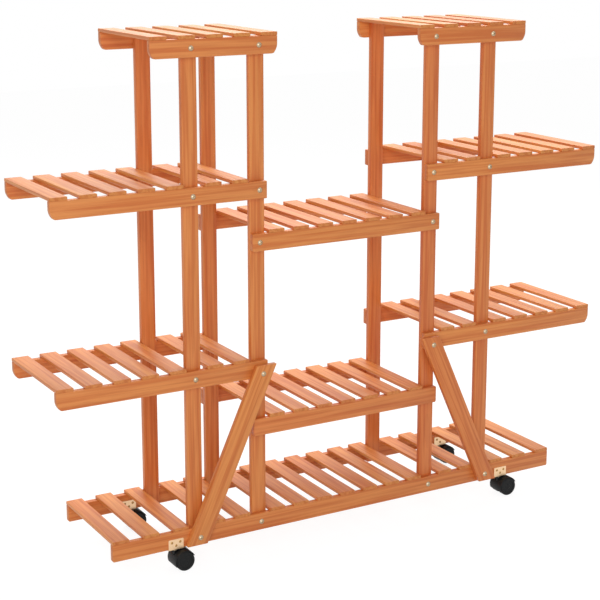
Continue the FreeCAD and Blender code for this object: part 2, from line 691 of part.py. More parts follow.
def build():
    """Every node of the stand: its name and its shape."""
    nodes = {}
    holes = all_holes()
    for name, details in SHELVES.items():
        nodes[name + "_slats"] = group([slat(x, details["level"]) for x in slat_places(name)])
        for row in ROWS:
            nodes[name + "_" + row + "_rail"] = drilled(rail(details, row), holes)
    for side, sign in SIDES.items():
        nodes[side + "_brace"] = drilled(brace(sign), holes)
        for place, x in (("inner", INNER_POST_X), ("outer", OUTER_POST_X)):
            for row in ROWS:
                nodes["_".join((side, place, row, "post"))] = drilled(post(sign * x, row), holes)
    short = [place for place in bolts() if not is_brace_bolt(*place)]
    long = [place for place in bolts() if is_brace_bolt(*place)]
    nodes["rail_bolts"] = group([bolt(*place) for place in short])
    nodes["brace_bolts"] = group([bolt(*place) for place in long])
    nodes["insert_nuts"] = group([insert_nut(*place) for place in bolts()])
    nodes["low_bridge_screws"] = group([bridge_screw(*place) for place in bridge_screws()])
    screws = []
    for row, side in casters():
        for x, z in bracket_screws(row, side):
            screws.extend(bracket_screw_pair(x, z, row))
    nodes["caster_screws"] = group(screws)
    nodes["caster_brackets"] = group([bracket(*place) for place in casters()])
    nodes["caster_stems"] = group([stem(*place) for place in casters()])
    for row, side in casters():
        prefix = "_".join((row, side, "caster"))
        nodes[prefix + "_hood"] = hood(row, side)
        nodes[prefix + "_axle"] = axle(row, side)
        nodes[prefix + "_front_wheel"] = wheel(row, side, -1)
        nodes[prefix + "_back_wheel"] = wheel(row, side, 1)
    return nodes


os.makedirs("parts", exist_ok=True)
for node, shape in build().items():
    shape.exportStep("parts/" + node + ".step")
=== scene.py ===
import json
import math
import random

import bpy
from mathutils import Matrix, Vector


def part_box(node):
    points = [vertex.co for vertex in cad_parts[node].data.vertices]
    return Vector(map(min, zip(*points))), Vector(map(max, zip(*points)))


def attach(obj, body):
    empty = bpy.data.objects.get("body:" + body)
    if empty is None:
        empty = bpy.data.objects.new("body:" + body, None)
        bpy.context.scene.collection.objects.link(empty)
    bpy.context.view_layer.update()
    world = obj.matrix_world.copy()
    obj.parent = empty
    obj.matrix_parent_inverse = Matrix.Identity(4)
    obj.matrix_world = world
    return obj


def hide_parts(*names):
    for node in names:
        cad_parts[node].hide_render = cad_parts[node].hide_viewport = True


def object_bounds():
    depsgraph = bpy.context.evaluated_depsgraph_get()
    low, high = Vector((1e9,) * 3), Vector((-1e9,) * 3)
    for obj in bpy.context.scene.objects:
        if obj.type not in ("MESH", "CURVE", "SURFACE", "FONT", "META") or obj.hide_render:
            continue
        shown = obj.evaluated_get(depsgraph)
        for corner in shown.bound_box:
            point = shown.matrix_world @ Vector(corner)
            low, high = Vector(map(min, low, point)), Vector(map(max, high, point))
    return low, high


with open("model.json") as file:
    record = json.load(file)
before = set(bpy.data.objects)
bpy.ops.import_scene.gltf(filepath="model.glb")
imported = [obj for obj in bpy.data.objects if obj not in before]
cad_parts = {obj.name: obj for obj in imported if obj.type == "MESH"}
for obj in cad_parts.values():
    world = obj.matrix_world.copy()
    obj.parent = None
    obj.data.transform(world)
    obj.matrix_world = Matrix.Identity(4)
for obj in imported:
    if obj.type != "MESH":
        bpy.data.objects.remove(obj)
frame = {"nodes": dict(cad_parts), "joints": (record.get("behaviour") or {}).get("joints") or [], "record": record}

bl_info = {
    "name": "Rolling Plant Stand",
    "version": (1, 0, 0),
    "blender": (4, 5, 0),
    "location": "3D View > Sidebar > Plant Stand",
    "description": "Dresses a stepped, slatted plant stand on casters",
    "category": "Object",
}

CAD_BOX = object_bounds()
NODES = sorted(frame["nodes"])
CASTERS = sorted(name[: -len("_hood")] for name in NODES if name.endswith("_hood"))

MM = 0.001
NEAR = 0.1 * MM  # points nearer to each other than this are at the same place
ALONG_X = Vector((1, 0, 0))
ALONG_Y = Vector((0, 1, 0))
ALONG_Z = Vector((0, 0, 1))

# Sides of the round shapes, fewer for smaller ones.
HOOD_SIDES = 96
WHEEL_SIDES = 64
PIN_SIDES = 32

# The stain is brushed on by hand: what a deep and a thin coat do to the red, green and blue of the wood, and how
# far from deep to thin the boards of each kind are, at least and at most. Within each range the boards differ at
# random, as hand staining leaves them. The slats' high, paler and yellower range is also painted light, standing
# in for the light that falls on their tops.
DEEP_STAIN = (0.92, 0.77, 0.76)
THIN_STAIN = (1.02, 1.14, 1.02)
POST_STAIN = (0.0, 0.45)
RAIL_STAIN = (0.2, 0.6)
# Painted light: this high range makes every slat paler and yellower, for the light on the slats' tops.
SLAT_STAIN_AND_TOP_LIGHT = (0.5, 1.0)

# The colour sockets of a Mix node go by their places, because it has others of the same names.
MIX_A, MIX_B, MIXED = 6, 7, 2


def linear(hex_colour):
    """An sRGB hex colour as the linear red, green and blue that shaders use."""
    channels = [int(hex_colour[at : at + 2], 16) / 255 for at in (1, 3, 5)]
    return [c / 12.92 if c <= 0.04045 else ((c + 0.055) / 1.055) ** 2.4 for c in channels]


def rgba(colour):
    return (*colour[:3], 1.0)


# ---------------------------------------------------------------- settings
class BoardSizes(bpy.types.PropertyGroup):
    easing: bpy.props.FloatProperty(
        name="Board easing",
        description="Rounding of the long edges of posts, rails and braces",
        default=1.0 * MM,
        unit="LENGTH",
    )
    slat_easing: bpy.props.FloatProperty(
        name="Slat easing",
        description="Rounding of the long edges of the slats",
        default=1.2 * MM,
        unit="LENGTH",
    )
    end_easing: bpy.props.FloatProperty(
        name="End easing",
        description="Rounding left by sanding a board's sawn ends",
        default=0.4 * MM,
        unit="LENGTH",
    )
    corner: bpy.props.FloatProperty(
        name="Rail corner",
        description="Rounding of the rails' lower corners",
        default=3.0 * MM,
        unit="LENGTH",
    )
    top_corner: bpy.props.FloatProperty(
        name="Rail top corner",
        description="Rounding of the rails' upper corners",
        default=1.5 * MM,
        unit="LENGTH",
    )
    sweep_height: bpy.props.FloatProperty(
        name="Sweep height",
        description="Height over which the free end of a wing or top rail curves in",
        default=20.0 * MM,
        unit="LENGTH",
    )
    sweep_inset: bpy.props.FloatProperty(
        name="Sweep inset",
        description="How far the rail's lower edge stays short of its upper edge",
        default=9.0 * MM,
        unit="LENGTH",
    )
    brace_width: bpy.props.FloatProperty(
        name="Brace width",
        description="Width of a slanted brace, square to its length",
        default=40.0 * MM,
        unit="LENGTH",
    )


class WoodLook(bpy.types.PropertyGroup):
    pale: bpy.props.FloatVectorProperty(
        name="Early wood",
        description="Stained colour of the soft wood between the rings",
        subtype="COLOR",
        default=linear("#E8944F"),
    )
    honey: bpy.props.FloatVectorProperty(
        name="Body",
        description="Stained colour of most of the board",
        subtype="COLOR",
        default=linear("#D57737"),
    )
    ring: bpy.props.FloatVectorProperty(
        name="Late wood",
        description="Stained colour of the dense rings",
        subtype="COLOR",
        default=linear("#B05524"),
    )
    sawn: bpy.props.FloatVectorProperty(
        name="Sawn ends",
        description="Colour of the end grain, which drinks more stain",
        subtype="COLOR",
        default=linear("#A95A2A"),
    )
    ring_spacing: bpy.props.FloatProperty(
        name="Ring spacing",
        description="Distance between growth rings",
        default=6.5 * MM,
        unit="LENGTH",
    )


class CasterSizes(bpy.types.PropertyGroup):
    shell: bpy.props.FloatProperty(
        name="Hood shell",
        description="Wall thickness of the hood over the wheels",
        default=1.4 * MM,
        unit="LENGTH",
    )
    web: bpy.props.FloatProperty(
        name="Hood web",
        description="Thickness of the hood's plate between the wheels",
        default=11.0 * MM,
        unit="LENGTH",
    )
    web_drop: bpy.props.FloatProperty(
        name="Hood web drop",
        description="Lower edge of that plate below the axle",
        default=7.0 * MM,
        unit="LENGTH",
    )
    cover_tilt: bpy.props.FloatProperty(
        name="Cover tilt",
        description="How far the half shell over the treads leans towards the stem",
        default=math.radians(25),
        subtype="ANGLE",
    )
    lip: bpy.props.FloatProperty(
        name="Hood lip",
        description="Rounding of the hood's outer rim over each wheel",
        default=0.84 * MM,
        unit="LENGTH",
    )
    boss_easing: bpy.props.FloatProperty(
        name="Boss easing",
        description="Rounding of the boss's upper edge",
        default=0.8 * MM,
        unit="LENGTH",
    )
    boss_radius: bpy.props.FloatProperty(
        name="Boss radius",
        description="Radius of the boss that holds the stem",
        default=7.5 * MM,
        unit="LENGTH",
    )
    stem_radius: bpy.props.FloatProperty(
        name="Stem radius",
        description="Radius of the swivel stem",
        default=3.5 * MM,
        unit="LENGTH",
    )
    rim: bpy.props.FloatProperty(
        name="Wheel rim",
        description="Thickness of the wheel's tread wall",
        default=3.2 * MM,
        unit="LENGTH",
    )
    hub_radius: bpy.props.FloatProperty(
        name="Wheel hub radius",
        description="Radius of the hub on the wheel's inner side",
        default=6.0 * MM,
        unit="LENGTH",
    )
    dish: bpy.props.FloatProperty(
        name="Wheel dish",
        description="Depth of the hollow in the wheel's outer face",
        default=1.0 * MM,
        unit="LENGTH",
    )
    wheel_web: bpy.props.FloatProperty(
        name="Wheel web",
        description="Thickness of the wheel's disc behind its outer face",
        default=3.0 * MM,
        unit="LENGTH",
    )
    dish_radius: bpy.props.FloatProperty(
        name="Wheel dish radius",
        description="Radius of the hollow in the wheel's outer face",
        default=14.5 * MM,
        unit="LENGTH",
    )
    cap_radius: bpy.props.FloatProperty(
        name="Hub cap radius",
        description="Radius of the raised cap in the middle of the outer face",
        default=5.5 * MM,
        unit="LENGTH",
    )
    dish_slope: bpy.props.FloatProperty(
        name="Dish slope",
        description="Width of the sloped step at the edge of the hollow and of the cap",
        default=0.6 * MM,
        unit="LENGTH",
    )
    cap_rise: bpy.props.FloatProperty(
        name="Hub cap rise",
        description="Height of the cap above the bottom of the hollow",
        default=0.6 * MM,
        unit="LENGTH",
    )
    cap_crown: bpy.props.FloatProperty(
        name="Hub cap crown",
        description="How much higher the middle of the cap is than its edge",
        default=0.2 * MM,
        unit="LENGTH",
    )
    shoulder: bpy.props.FloatProperty(
        name="Wheel shoulder",
        description="Rounding between the tread and the outer face",
        default=2.0 * MM,
        unit="LENGTH",
    )
    inner_shoulder: bpy.props.FloatProperty(
        name="Wheel inner shoulder",
        description="Rounding between the tread and the inner side",
        default=0.8 * MM,
        unit="LENGTH",
    )
    running_gap: bpy.props.FloatProperty(
        name="Running gap",
        description="Clearance of the stem and the axle in their holes",
        default=0.05 * MM,
        unit="LENGTH",
    )
    sheet: bpy.props.FloatProperty(
        name="Bracket leg sheet",
        description="Thickness of the bracket's legs",
        default=1.5 * MM,
        unit="LENGTH",
    )
    base_sheet: bpy.props.FloatProperty(
        name="Bracket base sheet",
        description="Thickness of the bracket under the rail",
        default=2.0 * MM,
        unit="LENGTH",
    )
    bend: bpy.props.FloatProperty(
        name="Bracket bend",
        description="Outer radius of the bracket's bends",
        default=1.4 * MM,
        unit="LENGTH",
    )
    leg_corner: bpy.props.FloatProperty(
        name="Bracket leg corner",
        description="Rounding of the legs' upper corners",
        default=2.0 * MM,
        unit="LENGTH",
    )


class StageSetup(bpy.types.PropertyGroup):
    camera_place: bpy.props.FloatVectorProperty(
        name="Camera place",
        description="Where the camera stands, from the middle of the stand's footprint",
        subtype="TRANSLATION",
        unit="LENGTH",
        default=(-1.586, -2.672, 1.278),
    )
    camera_heading: bpy.props.FloatProperty(
        name="Camera heading",
        description="How far the camera turns to the left of straight ahead",
        default=math.radians(-29.96),
        subtype="ANGLE",
    )
    camera_tilt: bpy.props.FloatProperty(
        name="Camera tilt",
        description="How far the camera looks down",
        default=math.radians(12.19),
        subtype="ANGLE",
    )
    camera_lens: bpy.props.FloatProperty(
        name="Camera lens",
        description="Focal length in millimetres on a 36 mm wide sensor",
        default=90.5,
    )
    camera_drop: bpy.props.FloatProperty(
        name="Camera shift",
        description="How far the lens is shifted down, as a share of the picture's width",
        default=0.10,
    )
    floor_size: bpy.props.FloatProperty(
        name="Floor size",
        description="Side of the square floor",
        default=16.0,
        unit="LENGTH",
    )
    floor_white: bpy.props.FloatProperty(
        name="Floor whiteness",
        description="Share of plain white in the floor as the camera sees it",
        default=0.8,
    )
    floor_glow: bpy.props.FloatProperty(
        name="Floor glow",
        description="Strength of that white, a little over 1 so that only the stand's shadow is darker",
        default=1.15,
    )
    fill: bpy.props.FloatProperty(
        name="Fill light",
        description="Strength of the even light from all round",
        default=0.42,
    )
    overhead: bpy.props.FloatProperty(
        name="Overhead lamp",
        description="Power in watts of the soft lamp above the stand",
        default=98.0,
    )
    overhead_place: bpy.props.FloatVectorProperty(
        name="Overhead lamp place",
        description="Above the stand, behind it and to its right, so that the slats catch a sheen",
        subtype="TRANSLATION",
        unit="LENGTH",
        default=(0.9, 1.3, 3.0),
    )
    front: bpy.props.FloatProperty(
        name="Front lamp",
        description="Power in watts of the soft lamp in front of the stand",
        default=68.0,
    )
    front_place: bpy.props.FloatVectorProperty(
        name="Front lamp place",
        description="In front of the stand, to its left",
        subtype="TRANSLATION",
        unit="LENGTH",
        default=(-2.4, -3.4, 2.0),
    )
    lamp_size: bpy.props.FloatProperty(
        name="Lamp size",
        description="Side of each square softbox",
        default=2.6,
        unit="LENGTH",
    )


# ---------------------------------------------------------------- working with pieces
def start_fresh():
    """Leave edit mode and deselect everything, as before a primitive is added."""
    if bpy.context.object and bpy.context.object.mode != "OBJECT":
        bpy.ops.object.mode_set(mode="OBJECT")
    bpy.ops.object.select_all(action="DESELECT")


def named(name):
    """Name the primitive that was added last and put its place into its mesh."""
    piece = bpy.context.object
    piece.name = name
    piece.data.name = name
    bpy.ops.object.transform_apply(location=True, rotation=True, scale=True)
    return piece


def block(name, low, high):
    start_fresh()
    bpy.ops.mesh.primitive_cube_add(size=1, location=(low + high) / 2, scale=high - low)
    return named(name)


def drum(name, radius, low_y, high_y, x, z, sides=HOOD_SIDES, ends="NGON"):
    """A cylinder along Y."""
    start_fresh()
    bpy.ops.mesh.primitive_cylinder_add(
        vertices=sides,
        radius=radius,
        depth=high_y - low_y,
        end_fill_type=ends,
        location=(x, (low_y + high_y) / 2, z),
        rotation=(math.pi / 2, 0, 0),
    )
    return named(name)


def pillar(name, radius, low_z, high_z, x, y):
    """A cylinder along Z."""
    start_fresh()
    bpy.ops.mesh.primitive_cylinder_add(
        vertices=PIN_SIDES,
        radius=radius,
        depth=high_z - low_z,
        location=(x, y, (low_z + high_z) / 2),
    )
    return named(name)


def pick(piece):
    """Select one piece alone and make it the active one."""
    start_fresh()
    piece.select_set(True)
    bpy.context.view_layer.objects.active = piece


def start_editing(piece):
    pick(piece)
    bpy.ops.object.mode_set(mode="EDIT")


def stop_editing():
    bpy.ops.object.mode_set(mode="OBJECT")


def choose(piece, mode, test):
    """Go into edit mode with only those vertices, edges or faces selected that pass a test."""
    start_editing(piece)
    bpy.ops.mesh.select_mode(type=mode)
    bpy.ops.mesh.select_all(action="DESELECT")
    stop_editing()
    mesh = piece.data
    if mode == "VERT":
        parts = [(vertex, (vertex.co,)) for vertex in mesh.vertices]
    elif mode == "EDGE":
        parts = [(edge, [mesh.vertices[index].co for index in edge.vertices]) for edge in mesh.edges]
    else:
        parts = [(face, (face.center, face.normal)) for face in mesh.polygons]
    for part, measures in parts:
        part.select = test(*measures)
    if not any(part.select for part, _ in parts):
        raise ValueError(f"nothing chosen on {piece.name}")
    bpy.ops.object.mode_set(mode="EDIT")


def bevel(width, segments):
    bpy.ops.mesh.bevel(offset=width, segments=segments, profile=0.5, affect="EDGES")


def round_edges(piece, test, width, segments):
    """Round the edges whose two ends pass a test."""
    choose(piece, "EDGE", test)
    bevel(width, segments)
    stop_editing()


def ease_sharp_edges(piece, width, segments=2):
    """Round every edge of a board that turns by more than a curve's step does."""
    start_editing(piece)
    bpy.ops.mesh.select_mode(type="EDGE")
    bpy.ops.mesh.select_all(action="DESELECT")
    bpy.ops.mesh.edges_select_sharp(sharpness=math.radians(60))
    bevel(width, segments)
    stop_editing()


def keep_side(piece, point, normal, fill):
    """Cut a piece with a plane and keep what lies behind the plane's normal."""
    start_editing(piece)
    bpy.ops.mesh.select_all(action="SELECT")
    bpy.ops.mesh.bisect(plane_co=point, plane_no=normal, use_fill=fill, clear_outer=True)
    stop_editing()


def smooth(piece):
    pick(piece)
    bpy.ops.object.shade_smooth_by_angle(angle=math.radians(35))


def copied(original, name, offset):
    """A copy of a piece with its own mesh, moved by an offset."""
    piece = original.copy()
    piece.data = original.data.copy()
    piece.name = name
    piece.data.name = name
    piece.data.transform(Matrix.Translation(offset))
    bpy.context.scene.collection.objects.link(piece)
    return piece


def joined(name, pieces):
    start_fresh()
    for piece in pieces:
        piece.select_set(True)
    bpy.context.view_layer.objects.active = pieces[0]
    bpy.ops.object.join()
    pieces[0].name = name
    pieces[0].data.name = name
    return pieces[0]


def apply_modifier(piece, kind, **settings):
    pick(piece)
    modifier = piece.modifiers.new(kind.title(), kind)
    for name, value in settings.items():
        setattr(modifier, name, value)
    bpy.ops.object.modifier_apply(modifier=modifier.name)


def combine(piece, other, operation):
    """Unite a piece with another one, or take the other away from it, and drop the other."""
    apply_modifier(piece, "BOOLEAN", operation=operation, object=other, solver="EXACT")
    bpy.data.objects.remove(other)


def finish_piece(piece, node, material):
    """Give a finished piece its material and body, and let it stand for its node."""
    piece.data.materials.clear()
    piece.data.materials.append(material)
    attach(piece, body_of(node))
    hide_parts(node)


def body_of(node):
    for body, members in frame["record"]["behaviour"]["bodies"].items():
        if node in members:
            return body
    raise ValueError(f"no body holds {node}")


def dress_node(node, material):
    """Give a node that keeps its own shape a better material."""
    for slot in frame["nodes"][node].material_slots:
        slot.material = material


# ---------------------------------------------------------------- materials
def add_node(tree, kind, inputs=None, **settings):
    """Add a shader node, set its properties, and fill or link its inputs."""
    node = tree.nodes.new(kind)
    for name, value in settings.items():
        setattr(node, name, value)
    for key, value in (inputs or {}).items():
        if isinstance(value, bpy.types.NodeSocket):
            tree.links.new(value, node.inputs[key])
        else:
            node.inputs[key].default_value = value
    return node


def new_material(name):
    material = bpy.data.materials.new(name)
    material.use_nodes = True
    return material, material.node_tree, material.node_tree.nodes["Principled BSDF"]


def stained_fir(look):
    """Planed fir brushed with a honey stain: wide soft growth rings and fine fibres under satin lacquer."""
    material, tree, shader = new_material("Stained fir")
    grain = add_node(tree, "ShaderNodeAttribute", attribute_name="grain").outputs["Vector"]
    tone = add_node(tree, "ShaderNodeAttribute", attribute_name="tone").outputs["Fac"]
    sawn = add_node(tree, "ShaderNodeAttribute", attribute_name="sawn_end").outputs["Fac"]

    # The rings wander by a centimetre over a third of a metre of trunk.
    trunk = add_node(tree, "ShaderNodeMapping", {"Vector": grain, "Scale": (3, 9, 9)})
    wander = add_node(tree, "ShaderNodeTexNoise", {"Vector": trunk.outputs[0], "Scale": 1.0, "Detail": 2.0})
    centred = add_node(
        tree, "ShaderNodeVectorMath", {0: wander.outputs["Color"], 1: (0.5, 0.5, 0.5)}, operation="SUBTRACT"
    )
    wandered = add_node(
        tree,
        "ShaderNodeVectorMath",
        {0: centred.outputs[0], 1: (0.0, 0.028, 0.028), 2: grain},
        operation="MULTIPLY_ADD",
    )
    across = add_node(
        tree, "ShaderNodeVectorMath", {0: wandered.outputs[0], 1: (0.0, 1.0, 1.0)}, operation="MULTIPLY"
    )
    radius = add_node(tree, "ShaderNodeVectorMath", {0: across.outputs[0]}, operation="LENGTH")
    rings = add_node(
        tree, "ShaderNodeMath", {0: radius.outputs["Value"], 1: look.ring_spacing}, operation="DIVIDE"
    )
    phase = add_node(tree, "ShaderNodeMath", {0: rings.outputs[0]}, operation="FRACT")
    # Each ring darkens slowly outwards and ends sharply at its late wood.
    late_wood = add_node(tree, "ShaderNodeMath", {0: phase.outputs[0], 1: 2.5}, operation="POWER")

    # Fibres are drawn 2 mm wide, several times their real width, so that they show.
    fibre_space = add_node(tree, "ShaderNodeMapping", {"Vector": grain, "Scale": (12, 500, 500)})
    fibres = add_node(
        tree, "ShaderNodeTexNoise", {"Vector": fibre_space.outputs[0], "Scale": 1.0, "Detail": 3.0}
    )
    # Streaks of deeper stain, 7 mm wide and a quarter of a metre long.
    streak_space = add_node(tree, "ShaderNodeMapping", {"Vector": grain, "Scale": (4, 140, 140)})
    streaks = add_node(
        tree, "ShaderNodeTexNoise", {"Vector": streak_space.outputs[0], "Scale": 1.0, "Detail": 2.0}
    )
    # Cloudy patches a hand's width long where the stain soaked in unevenly.
    cloud_space = add_node(tree, "ShaderNodeMapping", {"Vector": grain, "Scale": (9, 30, 30)})
    clouds = add_node(
        tree, "ShaderNodeTexNoise", {"Vector": cloud_space.outputs[0], "Scale": 1.0, "Detail": 2.0}
    )

    streak_part = add_node(
        tree,
        "ShaderNodeMapRange",
        {"Value": streaks.outputs["Fac"], "From Min": 0.38, "From Max": 0.66},
        interpolation_type="SMOOTHSTEP",
    )
    body = add_node(
        tree,
        "ShaderNodeMix",
        {"Factor": streak_part.outputs["Result"], MIX_A: rgba(look.pale), MIX_B: rgba(look.honey)},
        data_type="RGBA",
    )
    cloudy = add_node(
        tree, "ShaderNodeMapRange", {"Value": clouds.outputs["Fac"], "From Min": 0.3, "To Max": 0.34}
    )
    ring_part = add_node(
        tree,
        "ShaderNodeMath",
        {0: late_wood.outputs[0], 1: cloudy.outputs["Result"]},
        operation="MULTIPLY",
    )
    ringed = add_node(
        tree,
        "ShaderNodeMix",
        {"Factor": ring_part.outputs[0], MIX_A: body.outputs[MIXED], MIX_B: rgba(look.ring)},
        data_type="RGBA",
    )
    fibre_part = add_node(
        tree,
        "ShaderNodeMapRange",
        {"Value": fibres.outputs["Fac"], "From Min": 0.45, "From Max": 0.75, "To Max": 0.26},
    )
    fibred = add_node(
        tree,
        "ShaderNodeMix",
        {"Factor": fibre_part.outputs["Result"], MIX_A: ringed.outputs[MIXED], MIX_B: rgba(look.ring)},
        data_type="RGBA",
    )
    # End grain drinks more stain, so the sawn ends are a little deeper in colour.
    end_part = add_node(tree, "ShaderNodeMath", {0: sawn, 1: 0.2}, operation="MULTIPLY")
    ended = add_node(
        tree,
        "ShaderNodeMix",
        {"Factor": end_part.outputs[0], MIX_A: fibred.outputs[MIXED], MIX_B: rgba(look.sawn)},
        data_type="RGBA",
    )
    # The board's tone moves it from deep to thin stain. For the slats this also paints the light on their tops.
    tint = add_node(
        tree,
        "ShaderNodeMix",
        {"Factor": tone, MIX_A: rgba(DEEP_STAIN), MIX_B: rgba(THIN_STAIN)},
        data_type="RGBA",
    )
    coloured = add_node(
        tree,
        "ShaderNodeVectorMath",
        {0: ended.outputs[MIXED], 1: tint.outputs[MIXED]},
        operation="MULTIPLY",
    )
    tree.links.new(coloured.outputs[0], shader.inputs["Base Color"])

    # The satin lacquer is a little duller over the open fibres.
    lacquer = add_node(
        tree, "ShaderNodeMapRange", {"Value": fibres.outputs["Fac"], "To Min": 0.36, "To Max": 0.52}
    )
    tree.links.new(lacquer.outputs["Result"], shader.inputs["Roughness"])
    relief = add_node(
        tree, "ShaderNodeMath", {0: late_wood.outputs[0], 1: fibres.outputs["Fac"]}, operation="ADD"
    )
    bump = add_node(
        tree, "ShaderNodeBump", {"Height": relief.outputs[0], "Strength": 0.2, "Distance": 0.2 * MM}
    )
    tree.links.new(bump.outputs["Normal"], shader.inputs["Normal"])
    shader.inputs["IOR"].default_value = 1.5
    return material


def plated_steel(name, colour, rough_low, rough_high):
    """Zinc-plated steel: soft metal glints, a little cloudy from the plating bath."""
    material, tree, shader = new_material(name)
    place = add_node(tree, "ShaderNodeTexCoord").outputs["Object"]
    # The cloudiness of the plating is about 3 mm across.
    bath = add_node(tree, "ShaderNodeTexNoise", {"Vector": place, "Scale": 330.0, "Detail": 3.0})
    hazy = add_node(
        tree,
        "ShaderNodeMapRange",
        {"Value": bath.outputs["Fac"], "To Min": 0.86, "To Max": 1.08},
    )
    tinted = add_node(
        tree, "ShaderNodeVectorMath", {0: colour, "Scale": hazy.outputs["Result"]}, operation="SCALE"
    )
    tree.links.new(tinted.outputs[0], shader.inputs["Base Color"])
    rough = add_node(
        tree,
        "ShaderNodeMapRange",
        {"Value": bath.outputs["Fac"], "To Min": rough_low, "To Max": rough_high},
    )
    tree.links.new(rough.outputs["Result"], shader.inputs["Roughness"])
    shader.inputs["Metallic"].default_value = 1.0
    return material


def moulded_plastic(name, colour, pebble_mm, rough_low, rough_high):
    """Black injection-moulded plastic: a soft sheen broken by the mould's spark texture.

    The texture is drawn a few times coarser than the real one, so that it shows.
    """
    material, tree, shader = new_material(name)
    place = add_node(tree, "ShaderNodeTexCoord").outputs["Object"]
    pebbles = add_node(
        tree, "ShaderNodeTexNoise", {"Vector": place, "Scale": 1 / (pebble_mm * MM), "Detail": 2.0}
    )
    # Dust and handling marks are about a centimetre across.
    dust = add_node(tree, "ShaderNodeTexNoise", {"Vector": place, "Scale": 90.0, "Detail": 3.0})
    worn = add_node(
        tree, "ShaderNodeMapRange", {"Value": dust.outputs["Fac"], "To Min": 0.8, "To Max": 1.3}
    )
    tinted = add_node(
        tree, "ShaderNodeVectorMath", {0: colour, "Scale": worn.outputs["Result"]}, operation="SCALE"
    )
    tree.links.new(tinted.outputs[0], shader.inputs["Base Color"])
    rough = add_node(
        tree,
        "ShaderNodeMapRange",
        {"Value": dust.outputs["Fac"], "To Min": rough_low, "To Max": rough_high},
    )
    tree.links.new(rough.outputs["Result"], shader.inputs["Roughness"])
    bump = add_node(
        tree, "ShaderNodeBump", {"Height": pebbles.outputs["Fac"], "Strength": 0.25, "Distance": 0.1 * MM}
    )
    tree.links.new(bump.outputs["Normal"], shader.inputs["Normal"])
    shader.inputs["IOR"].default_value = 1.53
    # The spark texture and handling dust swallow most of the gloss that this IOR alone gives.
    shader.inputs["Specular IOR Level"].default_value = 0.2
    return material


def wood():
    """The stained fir of every board, made the first time it is asked for."""
    return bpy.data.materials.get("Stained fir") or stained_fir(bpy.context.scene.stand_wood)


# ---------------------------------------------------------------- boards
def mark_grain(board, along, across, luck, stain):
    """Store where each point of a board lay in its tree, the board's tone and its sawn ends."""
    mesh = board.data
    through = along.cross(across)
    points = [vertex.co for vertex in mesh.vertices]
    centre = sum(points, Vector()) / len(points)
    # A board comes from anywhere along a long trunk, 20 to 70 mm to one side of its heart.
    place_in_tree = Vector(
        (
            luck.uniform(-9, 9),
            luck.uniform(-0.03, 0.03),
            luck.choice((-1, 1)) * luck.uniform(0.02, 0.07),
        )
    )
    grain = mesh.attributes.new("grain", "FLOAT_VECTOR", "POINT")
    for point, value in zip(points, grain.data):
        offset = point - centre
        local = Vector((offset.dot(along), offset.dot(across), offset.dot(through)))
        value.vector = local + place_in_tree
    tone = mesh.attributes.new("tone", "FLOAT", "POINT")
    level = luck.uniform(*stain)
    for value in tone.data:
        value.value = level
    # A sawn end is a face that looks more along the board than to its sides.
    sawn = mesh.attributes.new("sawn_end", "FLOAT", "FACE")
    for face, value in zip(mesh.polygons, sawn.data):
        value.value = 1.0 if abs(face.normal.dot(along)) > 0.7 else 0.0


def spans_along_x(node):
    """Where the separate solids of a node start and end along X."""
    mesh = frame["nodes"][node].data
    reaches = []
    for face in mesh.polygons:
        xs = [mesh.vertices[index].co.x for index in face.vertices]
        reaches.append((min(xs), max(xs)))
    spans = []
    for start, end in sorted(reaches):
        if spans and start <= spans[-1][1] + NEAR:
            spans[-1][1] = max(spans[-1][1], end)
        else:
            spans.append([start, end])
    return spans


def make_slats(node, sizes):
    low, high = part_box(node)
    spans = spans_along_x(node)
    first = block("slat", Vector((spans[0][0], low.y, low.z)), Vector((spans[0][1], high.y, high.z)))
    round_edges(first, lambda a, b: abs(a.y - b.y) > MM, sizes.slat_easing, segments=3)
    ease_sharp_edges(first, sizes.end_easing, segments=1)
    smooth(first)
    luck = random.Random(node)
    slats = []
    for start, _ in spans:
        slat = copied(first, "slat", Vector((start - spans[0][0], 0, 0)))
        # The slats' paler stain range paints the light that falls on their tops.
        mark_grain(slat, ALONG_Y, ALONG_X, luck, SLAT_STAIN_AND_TOP_LIGHT)
        slats.append(slat)
    bpy.data.objects.remove(first)
    finish_piece(joined(node + "_boards", slats), node, wood())


def sweep_end(rail, end_x, inward, low_z, sizes):
    """Curve a rail's free end in towards its lower edge: cut level rows and draw each one inwards."""
    rows = 8
    height, inset = sizes.sweep_height, sizes.sweep_inset
    radius = (height**2 + inset**2) / (2 * inset)
    turn = math.asin(height / radius)
    steps = [turn * (row + 1) / rows for row in range(rows)]
    levels = [low_z + height - radius * math.sin(step) for step in steps]
    start_editing(rail)
    for level in [low_z + height] + levels[:-1]:
        bpy.ops.mesh.select_all(action="SELECT")
        bpy.ops.mesh.bisect(plane_co=(0, 0, level), plane_no=(0, 0, 1))
    stop_editing()
    for step, level in zip(steps, levels):
        choose(rail, "VERT", lambda v: abs(v.x - end_x) < NEAR and abs(v.z - level) < NEAR)
        bpy.ops.transform.translate(value=(inward * radius * (1 - math.cos(step)), 0, 0))
        stop_editing()


def round_corner(rail, x, z, radius, segments):
    """Round the corner of a rail's outline that stands at one place."""
    round_edges(
        rail,
        lambda a, b: abs(a.y - b.y) > MM
        and all(abs(v.x - x) < NEAR and abs(v.z - z) < NEAR for v in (a, b)),
        radius,
        segments,
    )


def swept_ends(node):
    """Which ends of a rail are free and curve in: those away from the towers' inner posts."""
    if "top" in node:
        return (True, True)
    if "wing" in node:
        return (node.startswith("left"), node.startswith("right"))
    return (False, False)


